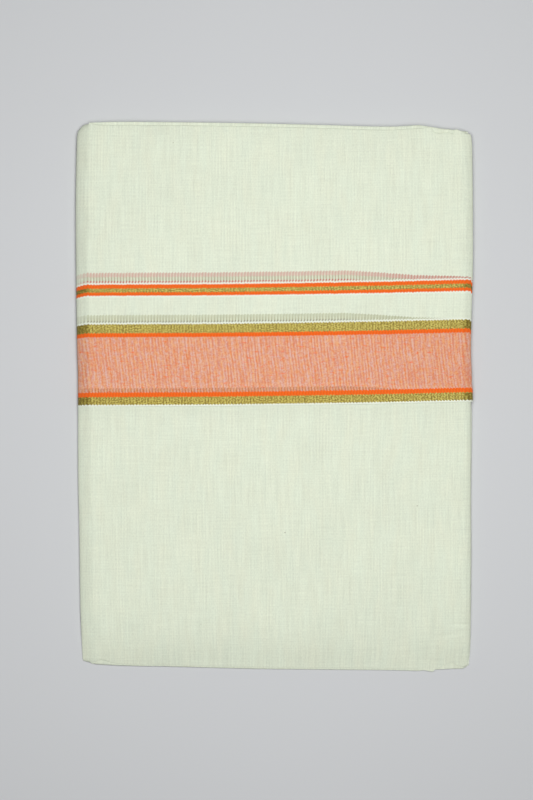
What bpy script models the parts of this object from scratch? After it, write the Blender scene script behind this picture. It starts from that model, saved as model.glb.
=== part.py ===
"""A dhoti folded flat: one woven length of cotton that lies on a table as a soft packet.

The cloth is 3.66 m long and 1.27 m wide. It is folded in half across its width, with its two
selvedges together, and its top is turned over so that the selvedges lie across the middle of the
front. The strip that this makes is then folded into twelve sections. Its last fold is the spine
on the left, which every section turns round. The top and bottom edges show a fold for each
section, and the open side on the right shows the strip's other folds and its two cut ends.

Three solids stand for it. border_flap is the turned-over part, from the selvedge to the top fold,
on the front, round the spine and on the underside. body_wrap is the part below the selvedge,
which the flap lies on. folded_layers is the ten sections between them, in one solid whose edges
show each section's fold.

+X runs from the spine to the open folds, +Y from the bottom fold to the top fold, and +Z up.
The origin is on the table, below the middle of the packet.
"""

import math
from collections import namedtuple

import bmesh
import bpy
from mathutils import Vector

MM = 0.001

# Driving dimensions, in millimetres.
HALF_WIDTH = 153.0
HALF_HEIGHT = 211.5
WALL = 1.0              # a folded pair of sheets, with the air between them
GAP = 0.3               # between one solid and the next
SPINE_REACH = 10.0      # how far the spine's turn runs in over the front
TUCK = 10.0             # how far the body runs on under the flap
TUCK_LEVEL = 0.55       # it does so from this share of the height up, in full a little higher
TUCK_FADE = 0.25

# How far a round corner reaches down the side, at the spine and at the open folds.
SPINE_CORNERS = {"top": 11.0, "bottom": 2.6}
OPEN_CORNERS = {"top": 2.4, "bottom": 1.4}

# How far each edge of the packet stands out past HALF_WIDTH or HALF_HEIGHT, at places along it.
# The top edge is the flap's own fold. The others are the outermost of the sections.
EdgeRow = namedtuple("EdgeRow", "place out")
LEFT_EDGE = (
    EdgeRow(-200, -4.8), EdgeRow(-165, -3.4), EdgeRow(-104, -2.5), EdgeRow(-57, -1.6),
    EdgeRow(20, -1.6), EdgeRow(35, -1.0), EdgeRow(66, -0.5), EdgeRow(150, 0.1), EdgeRow(203, -0.8),
)
RIGHT_EDGE = (
    EdgeRow(-204, -2.6), EdgeRow(-196, -1.8), EdgeRow(-173, -1.4), EdgeRow(-119, -1.0),
    EdgeRow(-73, -1.2), EdgeRow(-11, -0.5), EdgeRow(20, -0.8), EdgeRow(35, -1.5),
    EdgeRow(66, -0.8), EdgeRow(104, 0.2), EdgeRow(190, -0.3), EdgeRow(203, -1.2),
)
TOP_EDGE = (
    EdgeRow(-146, 0.0), EdgeRow(-135, -1.9), EdgeRow(-107, -2.1), EdgeRow(-26, -3.1),
    EdgeRow(35, -4.5), EdgeRow(90, -5.7), EdgeRow(112, -4.9), EdgeRow(133, -5.0),
    EdgeRow(149, -7.5),
)
BOTTOM_EDGE = (
    EdgeRow(-146, -4.6), EdgeRow(-139, -3.8), EdgeRow(-132, -5.2), EdgeRow(-119, -3.7),
    EdgeRow(-84, -2.7), EdgeRow(-18, -0.9), EdgeRow(24, -0.4), EdgeRow(101, 0.6),
    EdgeRow(118, 1.5), EdgeRow(134, -2.2), EdgeRow(143, -1.2), EdgeRow(150, -1.6),
)

# The selvedge crosses the front a little higher at the open folds than at the spine.
SelvedgeRow = namedtuple("SelvedgeRow", "place y")
SELVEDGE_LINE = (
    SelvedgeRow(-142, -7.8), SelvedgeRow(-95, -7.6), SelvedgeRow(-42, -7.3),
    SelvedgeRow(20, -6.5), SelvedgeRow(82, -5.5), SelvedgeRow(120, -4.6), SelvedgeRow(145, -4.0),
)

# The height of the flap's face over the table, at places up the packet, and carried on below the
# selvedge, where the body lies one wall and one gap lower. Above the selvedge every section is
# four sheets, below it only two, so the packet thins there.
HeightRow = namedtuple("HeightRow", "place height")
HEIGHTS = (
    HeightRow(-211, 5.6), HeightRow(-204, 6.5), HeightRow(-196, 7.6), HeightRow(-184, 9.2),
    HeightRow(-168, 10.4), HeightRow(-150, 10.9), HeightRow(-120, 11.1), HeightRow(-60, 11.3),
    HeightRow(-30, 12.0), HeightRow(-5, 13.3), HeightRow(30, 14.2), HeightRow(120, 14.3),
    HeightRow(185, 14.0), HeightRow(200, 13.4), HeightRow(209, 12.4),
)
OPEN_SIDE_DROP = 0.15   # the front is this share of its height lower at the open folds
OPEN_SIDE_ROLL = 9.5    # and starts to drop this far in
SPINE_DROP = 1.0        # and so it is where the spine's turn begins
SPINE_ROLL = 22.0

# How far the two outer walls stand past the packet's edges, at their own folds.
FLAP_RIGHT_OUT = -0.4
BODY_RIGHT_OUT = -1.4
BODY_BOTTOM_OUT = -1.6

# The sections between the outer walls, from the underside up. The outs are how far each fold
# stands past the packet's edge, and the drift is how much further out it is at the open side
# than in the middle. The open side shows, from the top, one fold that holds four sections, the
# cloth's two cut ends, set back, a second fold of four sections and a small fold of two.
SectionRow = namedtuple("SectionRow", "top_out top_drift right_out bottom_out bottom_drift")
SECTIONS = (
    SectionRow(0.2, -0.3, -0.6, -1.0, 0.3),
    SectionRow(0.9, 0.2, 0.1, -0.4, -0.2),
    SectionRow(0.4, 0.3, 0.7, -1.2, 0.2),
    SectionRow(1.2, -0.2, 0.7, -0.2, -0.3),
    SectionRow(0.1, 0.3, 0.1, -0.9, 0.3),
    SectionRow(0.8, -0.3, -3.0, -0.5, 0.2),
    SectionRow(0.3, 0.2, -2.2, -1.3, -0.2),
    SectionRow(1.0, -0.2, 0.2, 0.0, 0.0),
    SectionRow(0.5, 0.3, 0.6, -0.8, 0.3),
    SectionRow(2.1, 0.0, 0.3, -0.3, 0.0),
)
FOLD_VALLEYS = {"top": 0.7, "right": 0.5, "bottom": 0.35}   # how deep the grooves between them are
SHOULDERS = (0.0, 0.25, 0.75)   # a fold's groove and its two shoulders, in shares of its height
PEEK_END = 127.5        # the sections stand out past the flap's top fold as far as here
PEEK_FADE = 2.5
NEST_INSET = 1.0        # at the spine the sections end this far inside the outer walls' folds
NEST_REACH = 3.5        # which holds for this far in from where the spine's turn starts
NEST_FADE = 6.0         # and they reach their own places this far on

# Shares of the way across and up at which the surfaces have points.
CORNER_SHARES = (0.0, 0.004, 0.013, 0.028, 0.05)
SELVEDGE_SHARE = 0.488
HEIGHT_PER_SHARE = 2 * HALF_HEIGHT
SELVEDGE_MARGIN = 0.004
STEP_WIDTH = 0.9
SPINE_TURNS = 10
WALL_SHARES = (0.0, 0.25, 0.5, 0.75, 1.0)

COTTON = {"colour": (0.74, 0.79, 0.645, 1.0), "roughness": 0.9}


def mix(first, last, share):
    """The value that lies a share of the way from first to last."""
    return first + (last - first) * share


def ease(share):
    """A share held between 0 and 1, with a soft start and end."""
    held = min(max(share, 0.0), 1.0)
    return held * held * (3 - 2 * held)


def spread(first, last, steps):
    """Even steps from first to last, with both ends."""
    return [mix(first, last, step / steps) for step in range(steps + 1)]


def read_curve(rows, place):
    """The value at a place on the smooth curve through the rows, held level past its ends."""
    if place <= rows[0][0]:
        return rows[0][1]
    if place >= rows[-1][0]:
        return rows[-1][1]
    right = next(index for index, row in enumerate(rows) if row[0] > place)
    left = right - 1
    span = rows[right][0] - rows[left][0]

    def rise(index):
        before = rows[max(index - 1, 0)]
        after = rows[min(index + 1, len(rows) - 1)]
        return (after[1] - before[1]) / (after[0] - before[0]) * span

    share = (place - rows[left][0]) / span
    squared = share * share
    cubed = squared * share
    ends = rows[left][1] * (2 * cubed - 3 * squared + 1) + rows[right][1] * (3 * squared - 2 * cubed)
    rises = rise(left) * (cubed - 2 * squared + share) + rise(right) * (cubed - squared)
    return ends + rises


# How far one level of the stack stands out past the packet's edges, and whether it is nested
# inside the outer walls where they turn round the spine.
Reach = namedtuple("Reach", "left right top bottom top_drift bottom_drift nested")


class Outline:
    """The packet seen from above at one level of the stack, with its four sides."""

    def __init__(self, reach):
        self.reach = reach
        self.bends = {}

    def side_x(self, side, y):
        if side == "left":
            return -HALF_WIDTH - read_curve(LEFT_EDGE, y) - self.reach.left
        return HALF_WIDTH + read_curve(RIGHT_EDGE, y) + self.reach.right

    def clear_of_spine(self, x, y):
        """How far the sections have left their nest in the spine: 0 in it, and 1 clear of it."""
        if not self.reach.nested:
            return 1.0
        turn_start = SPINE_REACH - HALF_WIDTH - read_curve(LEFT_EDGE, y)
        return ease((x - turn_start - NEST_REACH) / NEST_FADE)

    def side_y(self, up, x):
        drift = x / HALF_WIDTH
        if up == "bottom":
            out = self.reach.bottom + self.reach.bottom_drift * drift
            out = mix(BODY_BOTTOM_OUT - NEST_INSET, out, self.clear_of_spine(x, -HALF_HEIGHT))
            return -HALF_HEIGHT - read_curve(BOTTOM_EDGE, x) - out
        out = self.reach.top + self.reach.top_drift * drift
        out = mix(-NEST_INSET, out, self.clear_of_spine(x, HALF_HEIGHT))
        if out > 0:
            out *= 1 - ease((x - PEEK_END) / PEEK_FADE)
        return HALF_HEIGHT + read_curve(TOP_EDGE, x) + out

    def across(self, up, share):
        """A point on the top or bottom edge, a share of the way from left to right."""
        y_near = HALF_HEIGHT if up == "top" else -HALF_HEIGHT
        x = mix(self.side_x("left", y_near), self.side_x("right", y_near), share)
        return Vector((x, self.side_y(up, x)))

    def upwards(self, side, share):
        """A point on the left or right edge, a share of the way from bottom to top."""
        end = 0.0 if side == "left" else 1.0
        low, high = self.across("bottom", end), self.across("top", end)
        selvedge = read_curve(SELVEDGE_LINE, low.x)
        if share < SELVEDGE_SHARE:
            y = mix(low.y, selvedge, share / SELVEDGE_SHARE)
        else:
            y = mix(selvedge, high.y, (share - SELVEDGE_SHARE) / (1 - SELVEDGE_SHARE))
        return Vector((self.side_x(side, y), y))

    def blended(self, u, v):
        low = mix(self.across("bottom", 0.0), self.across("bottom", 1.0), u)
        high = mix(self.across("top", 0.0), self.across("top", 1.0), u)
        between_edges = mix(self.across("bottom", u), self.across("top", u), v)
        between_sides = mix(self.upwards("left", v), self.upwards("right", v), u)
        return between_edges + between_sides - mix(low, high, v)

    def point(self, u, v):
        """A point inside the outline, a share u across and v up, blended from its four sides and
        moved so that the selvedge's row follows its line."""
        if u not in self.bends:
            line = self.blended(u, SELVEDGE_SHARE)
            self.bends[u] = read_curve(SELVEDGE_LINE, line.x) - line.y
        near_line = min(v / SELVEDGE_SHARE, (1 - v) / (1 - SELVEDGE_SHARE))
        return self.blended(u, v) + Vector((0, self.bends[u] * near_line))


OUTLINES = {}


def outline_at(reach):
    if reach not in OUTLINES:
        OUTLINES[reach] = Outline(reach)
    return OUTLINES[reach]


def packet_height(x, y):
    rolled = max(0.0, x - HALF_WIDTH + OPEN_SIDE_ROLL) / OPEN_SIDE_ROLL
    height = read_curve(HEIGHTS, y) * (1 - OPEN_SIDE_DROP * rolled**2)
    return height - SPINE_DROP * ease((SPINE_ROLL - HALF_WIDTH - x) / SPINE_ROLL)


def corner_share(v, corners):
    """How far out a side is, a share v of the way up: 0 at its ends, and 1 past its corners."""
    from_top = (1 - v) * HEIGHT_PER_SHARE / corners["top"]
    from_bottom = v * HEIGHT_PER_SHARE / corners["bottom"]
    near = min(from_top, from_bottom, 1.0)
    return math.sqrt(1 - (1 - near) ** 2)


def packet_point(u, v, level, front_depth, back_depth, out, nested=False):
    """A point of the packet. level is 1 on the front and 0 on the underside, and between them
    the left end follows the spine's turn. The depths are how far the point lies inside the
    outer face, on the front and on the underside. out is a SectionRow of that level."""
    depth = mix(back_depth, front_depth, ease(2 * level))
    bow = 1 - (2 * level - 1) ** 2
    spine_share = corner_share(v, SPINE_CORNERS)
    slack = GAP * (2 - spine_share) if nested else 0.0
    left = (SPINE_REACH * spine_share - depth) * bow - SPINE_REACH - slack
    near_corner = 1 - corner_share(v, OPEN_CORNERS)
    right = out.right_out - OPEN_CORNERS["top" if v > SELVEDGE_SHARE else "bottom"] * near_corner
    reach = Reach(left, right, out.top_out, out.bottom_out, out.top_drift, out.bottom_drift, nested)
    x, y = outline_at(reach).point(u, v)
    z = mix(back_depth, packet_height(x, y) - front_depth, level)
    return Vector((x, y, z)) * MM


def add_patch(mesh, columns, rows, point):
    """A grid of faces through point(column, row)."""
    grid = bmesh.ops.create_grid(mesh, x_segments=len(columns) - 1, y_segments=len(rows) - 1, size=1)
    for index, vert in enumerate(grid["verts"]):
        vert.co = point(columns[index % len(columns)], rows[index // len(columns)])


def add_solid(name, across, up, through, point, colour, roughness):
    """A closed solid whose six sides are grids through point(across, up, through)."""
    mesh = bmesh.new()
    for end in (through[0], through[-1]):
        add_patch(mesh, across, up, lambda column, row: point(column, row, end))
    for end in (up[0], up[-1]):
        add_patch(mesh, across, through, lambda column, row: point(column, end, row))
    for end in (across[0], across[-1]):
        add_patch(mesh, up, through, lambda column, row: point(end, column, row))
    bmesh.ops.remove_doubles(mesh, verts=mesh.verts, dist=0.001 * MM)
    bmesh.ops.recalc_face_normals(mesh, faces=mesh.faces)
    data = bpy.data.meshes.new(name)
    mesh.to_mesh(data)
    mesh.free()
    data.shade_smooth()
    data.set_sharp_from_angle(angle=math.radians(50))
    material = bpy.data.materials.new(name)
    material.use_nodes = True
    shader = material.node_tree.nodes["Principled BSDF"]
    shader.inputs["Base Color"].default_value = colour
    shader.inputs["Roughness"].default_value = roughness
    shader.inputs["Metallic"].default_value = 0.0
    data.materials.append(material)
    solid = bpy.data.objects.new(name, data)
    bpy.context.scene.collection.objects.link(solid)
    return solid


# A place along the wrap: how far across it is, and its level from the underside to the front.
Station = namedtuple("Station", "u level")


def wrap_stations():
    """From the open side over the front, round the spine and back under to the open side."""
    across = across_shares()
    front = [Station(u, 1.0) for u in reversed(across)]
    turns = spread(90, -90, SPINE_TURNS)[1:-1]
    spine = [Station(0.0, (1 + math.sin(math.radians(turn))) / 2) for turn in turns]
    back = [Station(u, 0.0) for u in across]
    return front + spine + back


def across_shares():
    """Shares of the way across, closer together at both ends."""
    near, far = CORNER_SHARES[2], 1 - CORNER_SHARES[2]
    inner = spread(CORNER_SHARES[-1], 1 - CORNER_SHARES[-1], 13)
    return [0.0, near, *inner, far, 1.0]


def lower_rows():
    """Shares of the way up from the bottom edge to just below the selvedge."""
    *corner, start = CORNER_SHARES
    return [*corner, *spread(start, SELVEDGE_SHARE - SELVEDGE_MARGIN, 6)]


def upper_rows(first):
    """Shares of the way up from the first to the top edge."""
    *corner, start = CORNER_SHARES
    middle = spread(SELVEDGE_SHARE, 1 - start, 7)[1:]
    return [first, *middle, *[1 - share for share in reversed(corner)]]


def rounded_rim(share, right, top, bottom):
    """The outs of a wall whose rims are half round, a share of the way through it."""
    pull = WALL / 2 * (1 - math.sqrt(max(1 - (2 * share - 1) ** 2, 0.0)))
    return SectionRow(top - pull, 0.0, right - pull, bottom - pull, 0.0)


def build_border_flap():
    """The turned-over part with the woven border, from the selvedge to the top fold."""

    def point(station, row, share):
        depth = WALL * share
        out = rounded_rim(share, FLAP_RIGHT_OUT, 0.0, 0.0)
        return packet_point(station.u, row, station.level, depth, depth, out)

    rows = upper_rows(SELVEDGE_SHARE)
    return add_solid("border_flap", wrap_stations(), rows, WALL_SHARES, point, **COTTON)


def build_body_wrap():
    """The plain part below the selvedge. On the front and down the upper half of the spine it
    runs on under the flap. On the underside, pressed flat by the table, they meet edge to edge."""
    tucked = SELVEDGE_SHARE + TUCK / HEIGHT_PER_SHARE
    met = SELVEDGE_SHARE - GAP / HEIGHT_PER_SHARE
    rows = [*lower_rows(), tucked]

    def point(station, row, share):
        depth = WALL * share
        if row == tucked:
            row = mix(met, tucked, ease((station.level - TUCK_LEVEL) / TUCK_FADE))
        out = rounded_rim(share, BODY_RIGHT_OUT, 0.0, BODY_BOTTOM_OUT)
        return packet_point(station.u, row, station.level, WALL + GAP + depth, depth, out)

    return add_solid("body_wrap", wrap_stations(), rows, WALL_SHARES, point, **COTTON)


def build_folded_layers():
    """The ten sections inside the wrap, with a fold for each along the open edges."""
    under = WALL + GAP
    step = SELVEDGE_SHARE + (TUCK + GAP) / HEIGHT_PER_SHARE
    step_end = step + STEP_WIDTH / HEIGHT_PER_SHARE
    rows = [*lower_rows(), step, *upper_rows(step_end)]
    count = len(SECTIONS)
    levels = [(index + shoulder) / count for index in range(count) for shoulder in SHOULDERS]

    def point(u, row, level):
        section = SECTIONS[min(int(level * count + 0.001), count - 1)]
        local = level * count - SECTIONS.index(section)
        groove = 1.0 if min(local, 1 - local) < 0.01 else 0.0
        out = SectionRow(
            section.top_out - groove * FOLD_VALLEYS["top"],
            section.top_drift,
            section.right_out - groove * FOLD_VALLEYS["right"],
            section.bottom_out - groove * FOLD_VALLEYS["bottom"],
            section.bottom_drift,
        )
        front_depth = under if row > step else 2 * under
        return packet_point(u, row, level, front_depth, under, out, nested=True)

    return add_solid("folded_layers", across_shares(), rows, [*levels, 1.0], point, **COTTON)


def main():
    for old in list(bpy.data.objects):
        bpy.data.objects.remove(old)
    build_border_flap()
    build_body_wrap()
    build_folded_layers()


main()
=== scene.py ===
# %% [markdown]
# # A folded dhoti
# A dhoti is one long cotton cloth with a woven border along both selvedges. This one is folded
# flat, as it lies in a shop: in half across its width, turned over at the top so that the border
# crosses the front, and then folded along its length into twelve sections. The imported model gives
# the plain solids. This script dresses them with cloth: the folded strip, its weave and its dyes.

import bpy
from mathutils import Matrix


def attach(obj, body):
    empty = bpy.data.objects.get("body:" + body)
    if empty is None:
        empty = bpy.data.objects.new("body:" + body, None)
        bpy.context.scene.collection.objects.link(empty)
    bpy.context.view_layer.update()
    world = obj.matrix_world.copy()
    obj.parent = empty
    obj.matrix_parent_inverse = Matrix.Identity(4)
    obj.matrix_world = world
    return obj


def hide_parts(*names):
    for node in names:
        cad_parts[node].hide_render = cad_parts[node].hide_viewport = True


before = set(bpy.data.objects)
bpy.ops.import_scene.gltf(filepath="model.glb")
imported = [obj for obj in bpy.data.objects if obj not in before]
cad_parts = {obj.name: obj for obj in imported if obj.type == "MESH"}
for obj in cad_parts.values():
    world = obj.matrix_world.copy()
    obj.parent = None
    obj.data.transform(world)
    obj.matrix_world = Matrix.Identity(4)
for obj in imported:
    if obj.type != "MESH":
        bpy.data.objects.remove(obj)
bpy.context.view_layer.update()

# %% Modules and units
import math
from collections import namedtuple

import bmesh
import bpy
from mathutils import Vector

MM = 0.001
scene = bpy.context.scene

# %% [markdown]
# ## Camera, floor and light
# The camera looks straight down. One pixel of the render covers 0.77 mm of the cloth, and a long
# lens keeps the packet's sides nearly hidden. The main light is a soft box overhead, a little
# towards the top fold. A wide panel stands far beyond the top fold, a weak fill at the lower left,
# and the room is dim, so that the cloth shades softly towards its folds.

# %% Camera
PIXEL = 0.77 * MM
PICTURE_HEIGHT = 800
CAMERA_HEIGHT = 1.6
CAMERA_OFFSET = Vector((-5.8 * MM, -2.65 * MM, CAMERA_HEIGHT))
CLOTH_LEVEL = 10 * MM
SENSOR = 36.0

camera_data = bpy.data.cameras.new("camera")
camera_data.sensor_width = SENSOR
camera_data.lens = SENSOR * (CAMERA_HEIGHT - CLOTH_LEVEL) / (PICTURE_HEIGHT * PIXEL)
camera_data.clip_start = 0.01
camera = bpy.data.objects.new("camera", camera_data)
camera.location = CAMERA_OFFSET
scene.collection.objects.link(camera)
scene.camera = camera
scene.view_settings.view_transform = "Standard"
print("lens:", round(camera_data.lens, 1), "mm")

# %% Floor
FLOOR_SIZE = 6.0

floor_mesh = bmesh.new()
bmesh.ops.create_grid(floor_mesh, x_segments=1, y_segments=1, size=FLOOR_SIZE / 2)
floor_data = bpy.data.meshes.new("floor")
floor_mesh.to_mesh(floor_data)
floor_mesh.free()
floor = bpy.data.objects.new("floor", floor_data)
scene.collection.objects.link(floor)

# %% Lights
SoftBox = namedtuple("SoftBox", "name place size power")
SOFT_BOXES = (
    SoftBox("key", (0.04, 0.08, 1.1), 0.5, 10.9),
    SoftBox("far_panel", (0.2, 3.0, 6.0), 2.4, 40.0),
    SoftBox("fill", (-0.5, -0.7, 1.5), 0.8, 0.8),
)
ROOM_COLOUR = (0.93, 0.96, 1.0, 1.0)
ROOM_STRENGTH = 0.09

for box in SOFT_BOXES:
    light_data = bpy.data.lights.new(box.name, "AREA")
    light_data.size = box.size
    light_data.energy = box.power
    light = bpy.data.objects.new(box.name, light_data)
    light.location = box.place
    light.rotation_euler = (-Vector(box.place)).to_track_quat("-Z", "Y").to_euler()
    scene.collection.objects.link(light)
world = bpy.data.worlds.new("room")
scene.world = world
world.use_nodes = True
world.node_tree.nodes["Background"].inputs["Color"].default_value = ROOM_COLOUR
world.node_tree.nodes["Background"].inputs["Strength"].default_value = ROOM_STRENGTH
print("lights:", ", ".join(f"{box.name} {box.power} W" for box in SOFT_BOXES))

# %% [markdown]
# ## The packet's outline
# Every sheet in the packet has nearly the same outline, so it is worked out once. Four short
# tables say how far each edge stands out of a plain rectangle at places along it, and a fifth
# holds the line of the selvedge. Between the rows a smooth curve fills in. A point inside is
# blended from the four sides, so that a grid of points follows them all.

# %% Sizes of the packet, in millimetres
HALF_WIDTH = 153.0
HALF_HEIGHT = 211.5
SPINE_REACH = 10.0
SELVEDGE_SHARE = 0.488
PACKET_LENGTH = 2 * HALF_HEIGHT
print("packet:", 2 * HALF_WIDTH, "by", PACKET_LENGTH, "mm before its edges wander")

CurveRow = namedtuple("CurveRow", "place value")
LEFT_EDGE = (
    CurveRow(-200, -4.8), CurveRow(-165, -3.4), CurveRow(-104, -2.5), CurveRow(-57, -1.6),
    CurveRow(20, -1.6), CurveRow(35, -1.0), CurveRow(66, -0.5), CurveRow(150, 0.1), CurveRow(203, -0.8),
)
RIGHT_EDGE = (
    CurveRow(-204, -2.6), CurveRow(-196, -1.8), CurveRow(-173, -1.4), CurveRow(-119, -1.0),
    CurveRow(-73, -1.2), CurveRow(-11, -0.5), CurveRow(20, -0.8), CurveRow(35, -1.5),
    CurveRow(66, -0.8), CurveRow(104, 0.2), CurveRow(190, -0.3), CurveRow(203, -1.2),
)
TOP_EDGE = (
    CurveRow(-146, 0.2), CurveRow(-141, -0.9), CurveRow(-135, -2.4), CurveRow(-107, -2.6),
    CurveRow(-26, -3.6), CurveRow(35, -5.0), CurveRow(81, -6.4), CurveRow(90, -6.4),
    CurveRow(97, -6.1), CurveRow(112, -5.1), CurveRow(120, -4.4), CurveRow(127.5, -5.6),
    CurveRow(133, -4.9), CurveRow(137, -5.9), CurveRow(140, -5.8), CurveRow(144, -7.4),
    CurveRow(146.5, -7.8), CurveRow(149, -7.3),
)
BOTTOM_EDGE = (
    CurveRow(-146, -3.6), CurveRow(-142.5, -4.2), CurveRow(-140, -3.2), CurveRow(-136, -6.2),
    CurveRow(-132, -6.4), CurveRow(-124, -4.0), CurveRow(-116, -3.2), CurveRow(-84, -2.7),
    CurveRow(-18, -0.9), CurveRow(24, -0.4), CurveRow(101, 0.4), CurveRow(112, 0.9),
    CurveRow(119, 2.2), CurveRow(123.2, 2.7), CurveRow(124.4, 1.4), CurveRow(128, -0.3),
    CurveRow(133, -2.8), CurveRow(138, -4.2), CurveRow(143, -1.6), CurveRow(146, -1.0),
    CurveRow(150, -1.6),
)
SELVEDGE_LINE = (
    CurveRow(-142, -7.8), CurveRow(-95, -7.6), CurveRow(-42, -7.3), CurveRow(20, -6.5),
    CurveRow(82, -5.5), CurveRow(120, -4.6), CurveRow(145, -4.0),
)


# %% Smooth steps and curves
def mix(first, last, share):
    """The value that lies a share of the way from first to last."""
    return first + (last - first) * share


def ease(share):
    """A share held between 0 and 1, with a soft start and end."""
    held = min(max(share, 0.0), 1.0)
    return held * held * (3 - 2 * held)


def spread(first, last, steps):
    """Even steps from first to last, with both ends."""
    return [mix(first, last, step / steps) for step in range(steps + 1)]


def read_curve(rows, place):
    """The value at a place on the smooth curve through the rows, held level past its ends."""
    if place <= rows[0][0]:
        return rows[0][1]
    if place >= rows[-1][0]:
        return rows[-1][1]
    right = next(index for index, row in enumerate(rows) if row[0] > place)
    left = right - 1
    span = rows[right][0] - rows[left][0]

    def rise(index):
        before = rows[max(index - 1, 0)]
        after = rows[min(index + 1, len(rows) - 1)]
        return (after[1] - before[1]) / (after[0] - before[0]) * span

    share = (place - rows[left][0]) / span
    squared = share * share
    cubed = squared * share
    ends = rows[left][1] * (2 * cubed - 3 * squared + 1) + rows[right][1] * (3 * squared - 2 * cubed)
    rises = rise(left) * (cubed - 2 * squared + share) + rise(right) * (cubed - squared)
    return ends + rises


def selvedge_y(x):
    return read_curve(SELVEDGE_LINE, x)


# %% The outline of one sheet
Reach = namedtuple("Reach", "left right top bottom")


class Outline:
    """One sheet's outline from above, standing out past the packet's edges by its reach."""

    def __init__(self, reach):
        self.reach = reach
        self.sides = {}
        self.lines = {}

    def side_x(self, side, y):
        if side == "left":
            return -HALF_WIDTH - read_curve(LEFT_EDGE, y) - self.reach.left
        return HALF_WIDTH + read_curve(RIGHT_EDGE, y) + self.reach.right

    def side_y(self, up, x):
        if up == "bottom":
            return -HALF_HEIGHT - read_curve(BOTTOM_EDGE, x) - self.reach.bottom
        return HALF_HEIGHT + read_curve(TOP_EDGE, x) + self.reach.top

    def across(self, up, share):
        """A point on the top or bottom edge, a share of the way from left to right."""
        if (up, share) not in self.sides:
            y_near = HALF_HEIGHT if up == "top" else -HALF_HEIGHT
            x = mix(self.side_x("left", y_near), self.side_x("right", y_near), share)
            self.sides[up, share] = Vector((x, self.side_y(up, x)))
        return self.sides[up, share]

    def upwards(self, side, share):
        """A point on the left or right edge, a share of the way from bottom to top."""
        if (side, share) not in self.sides:
            end = 0.0 if side == "left" else 1.0
            low, high = self.across("bottom", end), self.across("top", end)
            middle = selvedge_y(low.x)
            if share < SELVEDGE_SHARE:
                y = mix(low.y, middle, share / SELVEDGE_SHARE)
            else:
                y = mix(middle, high.y, (share - SELVEDGE_SHARE) / (1 - SELVEDGE_SHARE))
            self.sides[side, share] = Vector((self.side_x(side, y), y))
        return self.sides[side, share]

    def blended(self, u, v):
        low = mix(self.across("bottom", 0.0), self.across("bottom", 1.0), u)
        high = mix(self.across("top", 0.0), self.across("top", 1.0), u)
        between_edges = mix(self.across("bottom", u), self.across("top", u), v)
        between_sides = mix(self.upwards("left", v), self.upwards("right", v), u)
        return between_edges + between_sides - mix(low, high, v)

    def point(self, u, v):
        """A point inside the outline, a share u across and v up. The selvedge's row is bent."""
        if u not in self.lines:
            line = self.blended(u, SELVEDGE_SHARE)
            self.lines[u] = selvedge_y(line.x) - line.y
        near_line = min(v / SELVEDGE_SHARE, (1 - v) / (1 - SELVEDGE_SHARE))
        return self.blended(u, v) + Vector((0, self.lines[u] * near_line))


OUTLINES = {}


def outline_at(reach):
    if reach not in OUTLINES:
        OUTLINES[reach] = Outline(reach)
    return OUTLINES[reach]


# %% [markdown]
# ## The height of the stack
# Above the selvedge each of the twelve sections is four sheets thick, and below it only two. The
# loose sheets hold air, so the packet thins only from about 14 mm to 10 mm there, and then runs
# down to the bottom fold. The height is a curve up the packet, a little lower towards the spine
# and at the open side, with a step down just below the selvedge. Soft creases and a gentle swell
# are added to it on the face that shows.

# %% Height table
HEIGHTS = (
    CurveRow(-211, 3.8), CurveRow(-206, 5.0), CurveRow(-200, 6.7), CurveRow(-192, 8.6),
    CurveRow(-182, 10.1), CurveRow(-168, 11.1), CurveRow(-150, 11.5), CurveRow(-120, 11.6),
    CurveRow(-60, 11.8), CurveRow(-30, 12.3), CurveRow(-5, 13.3), CurveRow(30, 14.2),
    CurveRow(120, 14.3), CurveRow(185, 14.0), CurveRow(200, 13.4), CurveRow(209, 12.4),
)
OPEN_SIDE_DROP = 0.15
OPEN_SIDE_ROLL = 9.5
SPINE_DROP = 1.0
SPINE_ROLL = 22.0
BODY_DEPTH = 1.6
HEM_FALL = 14.0
HEM_STEP = 0.4
HEM_STEP_FALL = 3.0


def fall(share):
    """Steep at first and level at the end."""
    return 1 - (1 - min(share, 1.0)) ** 2


def stack_height(x, y):
    rolled = max(0.0, x - HALF_WIDTH + OPEN_SIDE_ROLL) / OPEN_SIDE_ROLL
    height = read_curve(HEIGHTS, y) * (1 - OPEN_SIDE_DROP * rolled**2)
    drop = SPINE_DROP * ease((SPINE_ROLL - HALF_WIDTH - x) / SPINE_ROLL)
    past_hem = max(selvedge_y(x) - y, 0.0)
    drop += BODY_DEPTH * fall(past_hem / HEM_FALL) + HEM_STEP * fall(past_hem / HEM_STEP_FALL)
    return height - drop


for place, y in (("below the hem", -100), ("above it", 100)):
    print("height of the stack", place, round(stack_height(0, y), 1), "mm")

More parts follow.
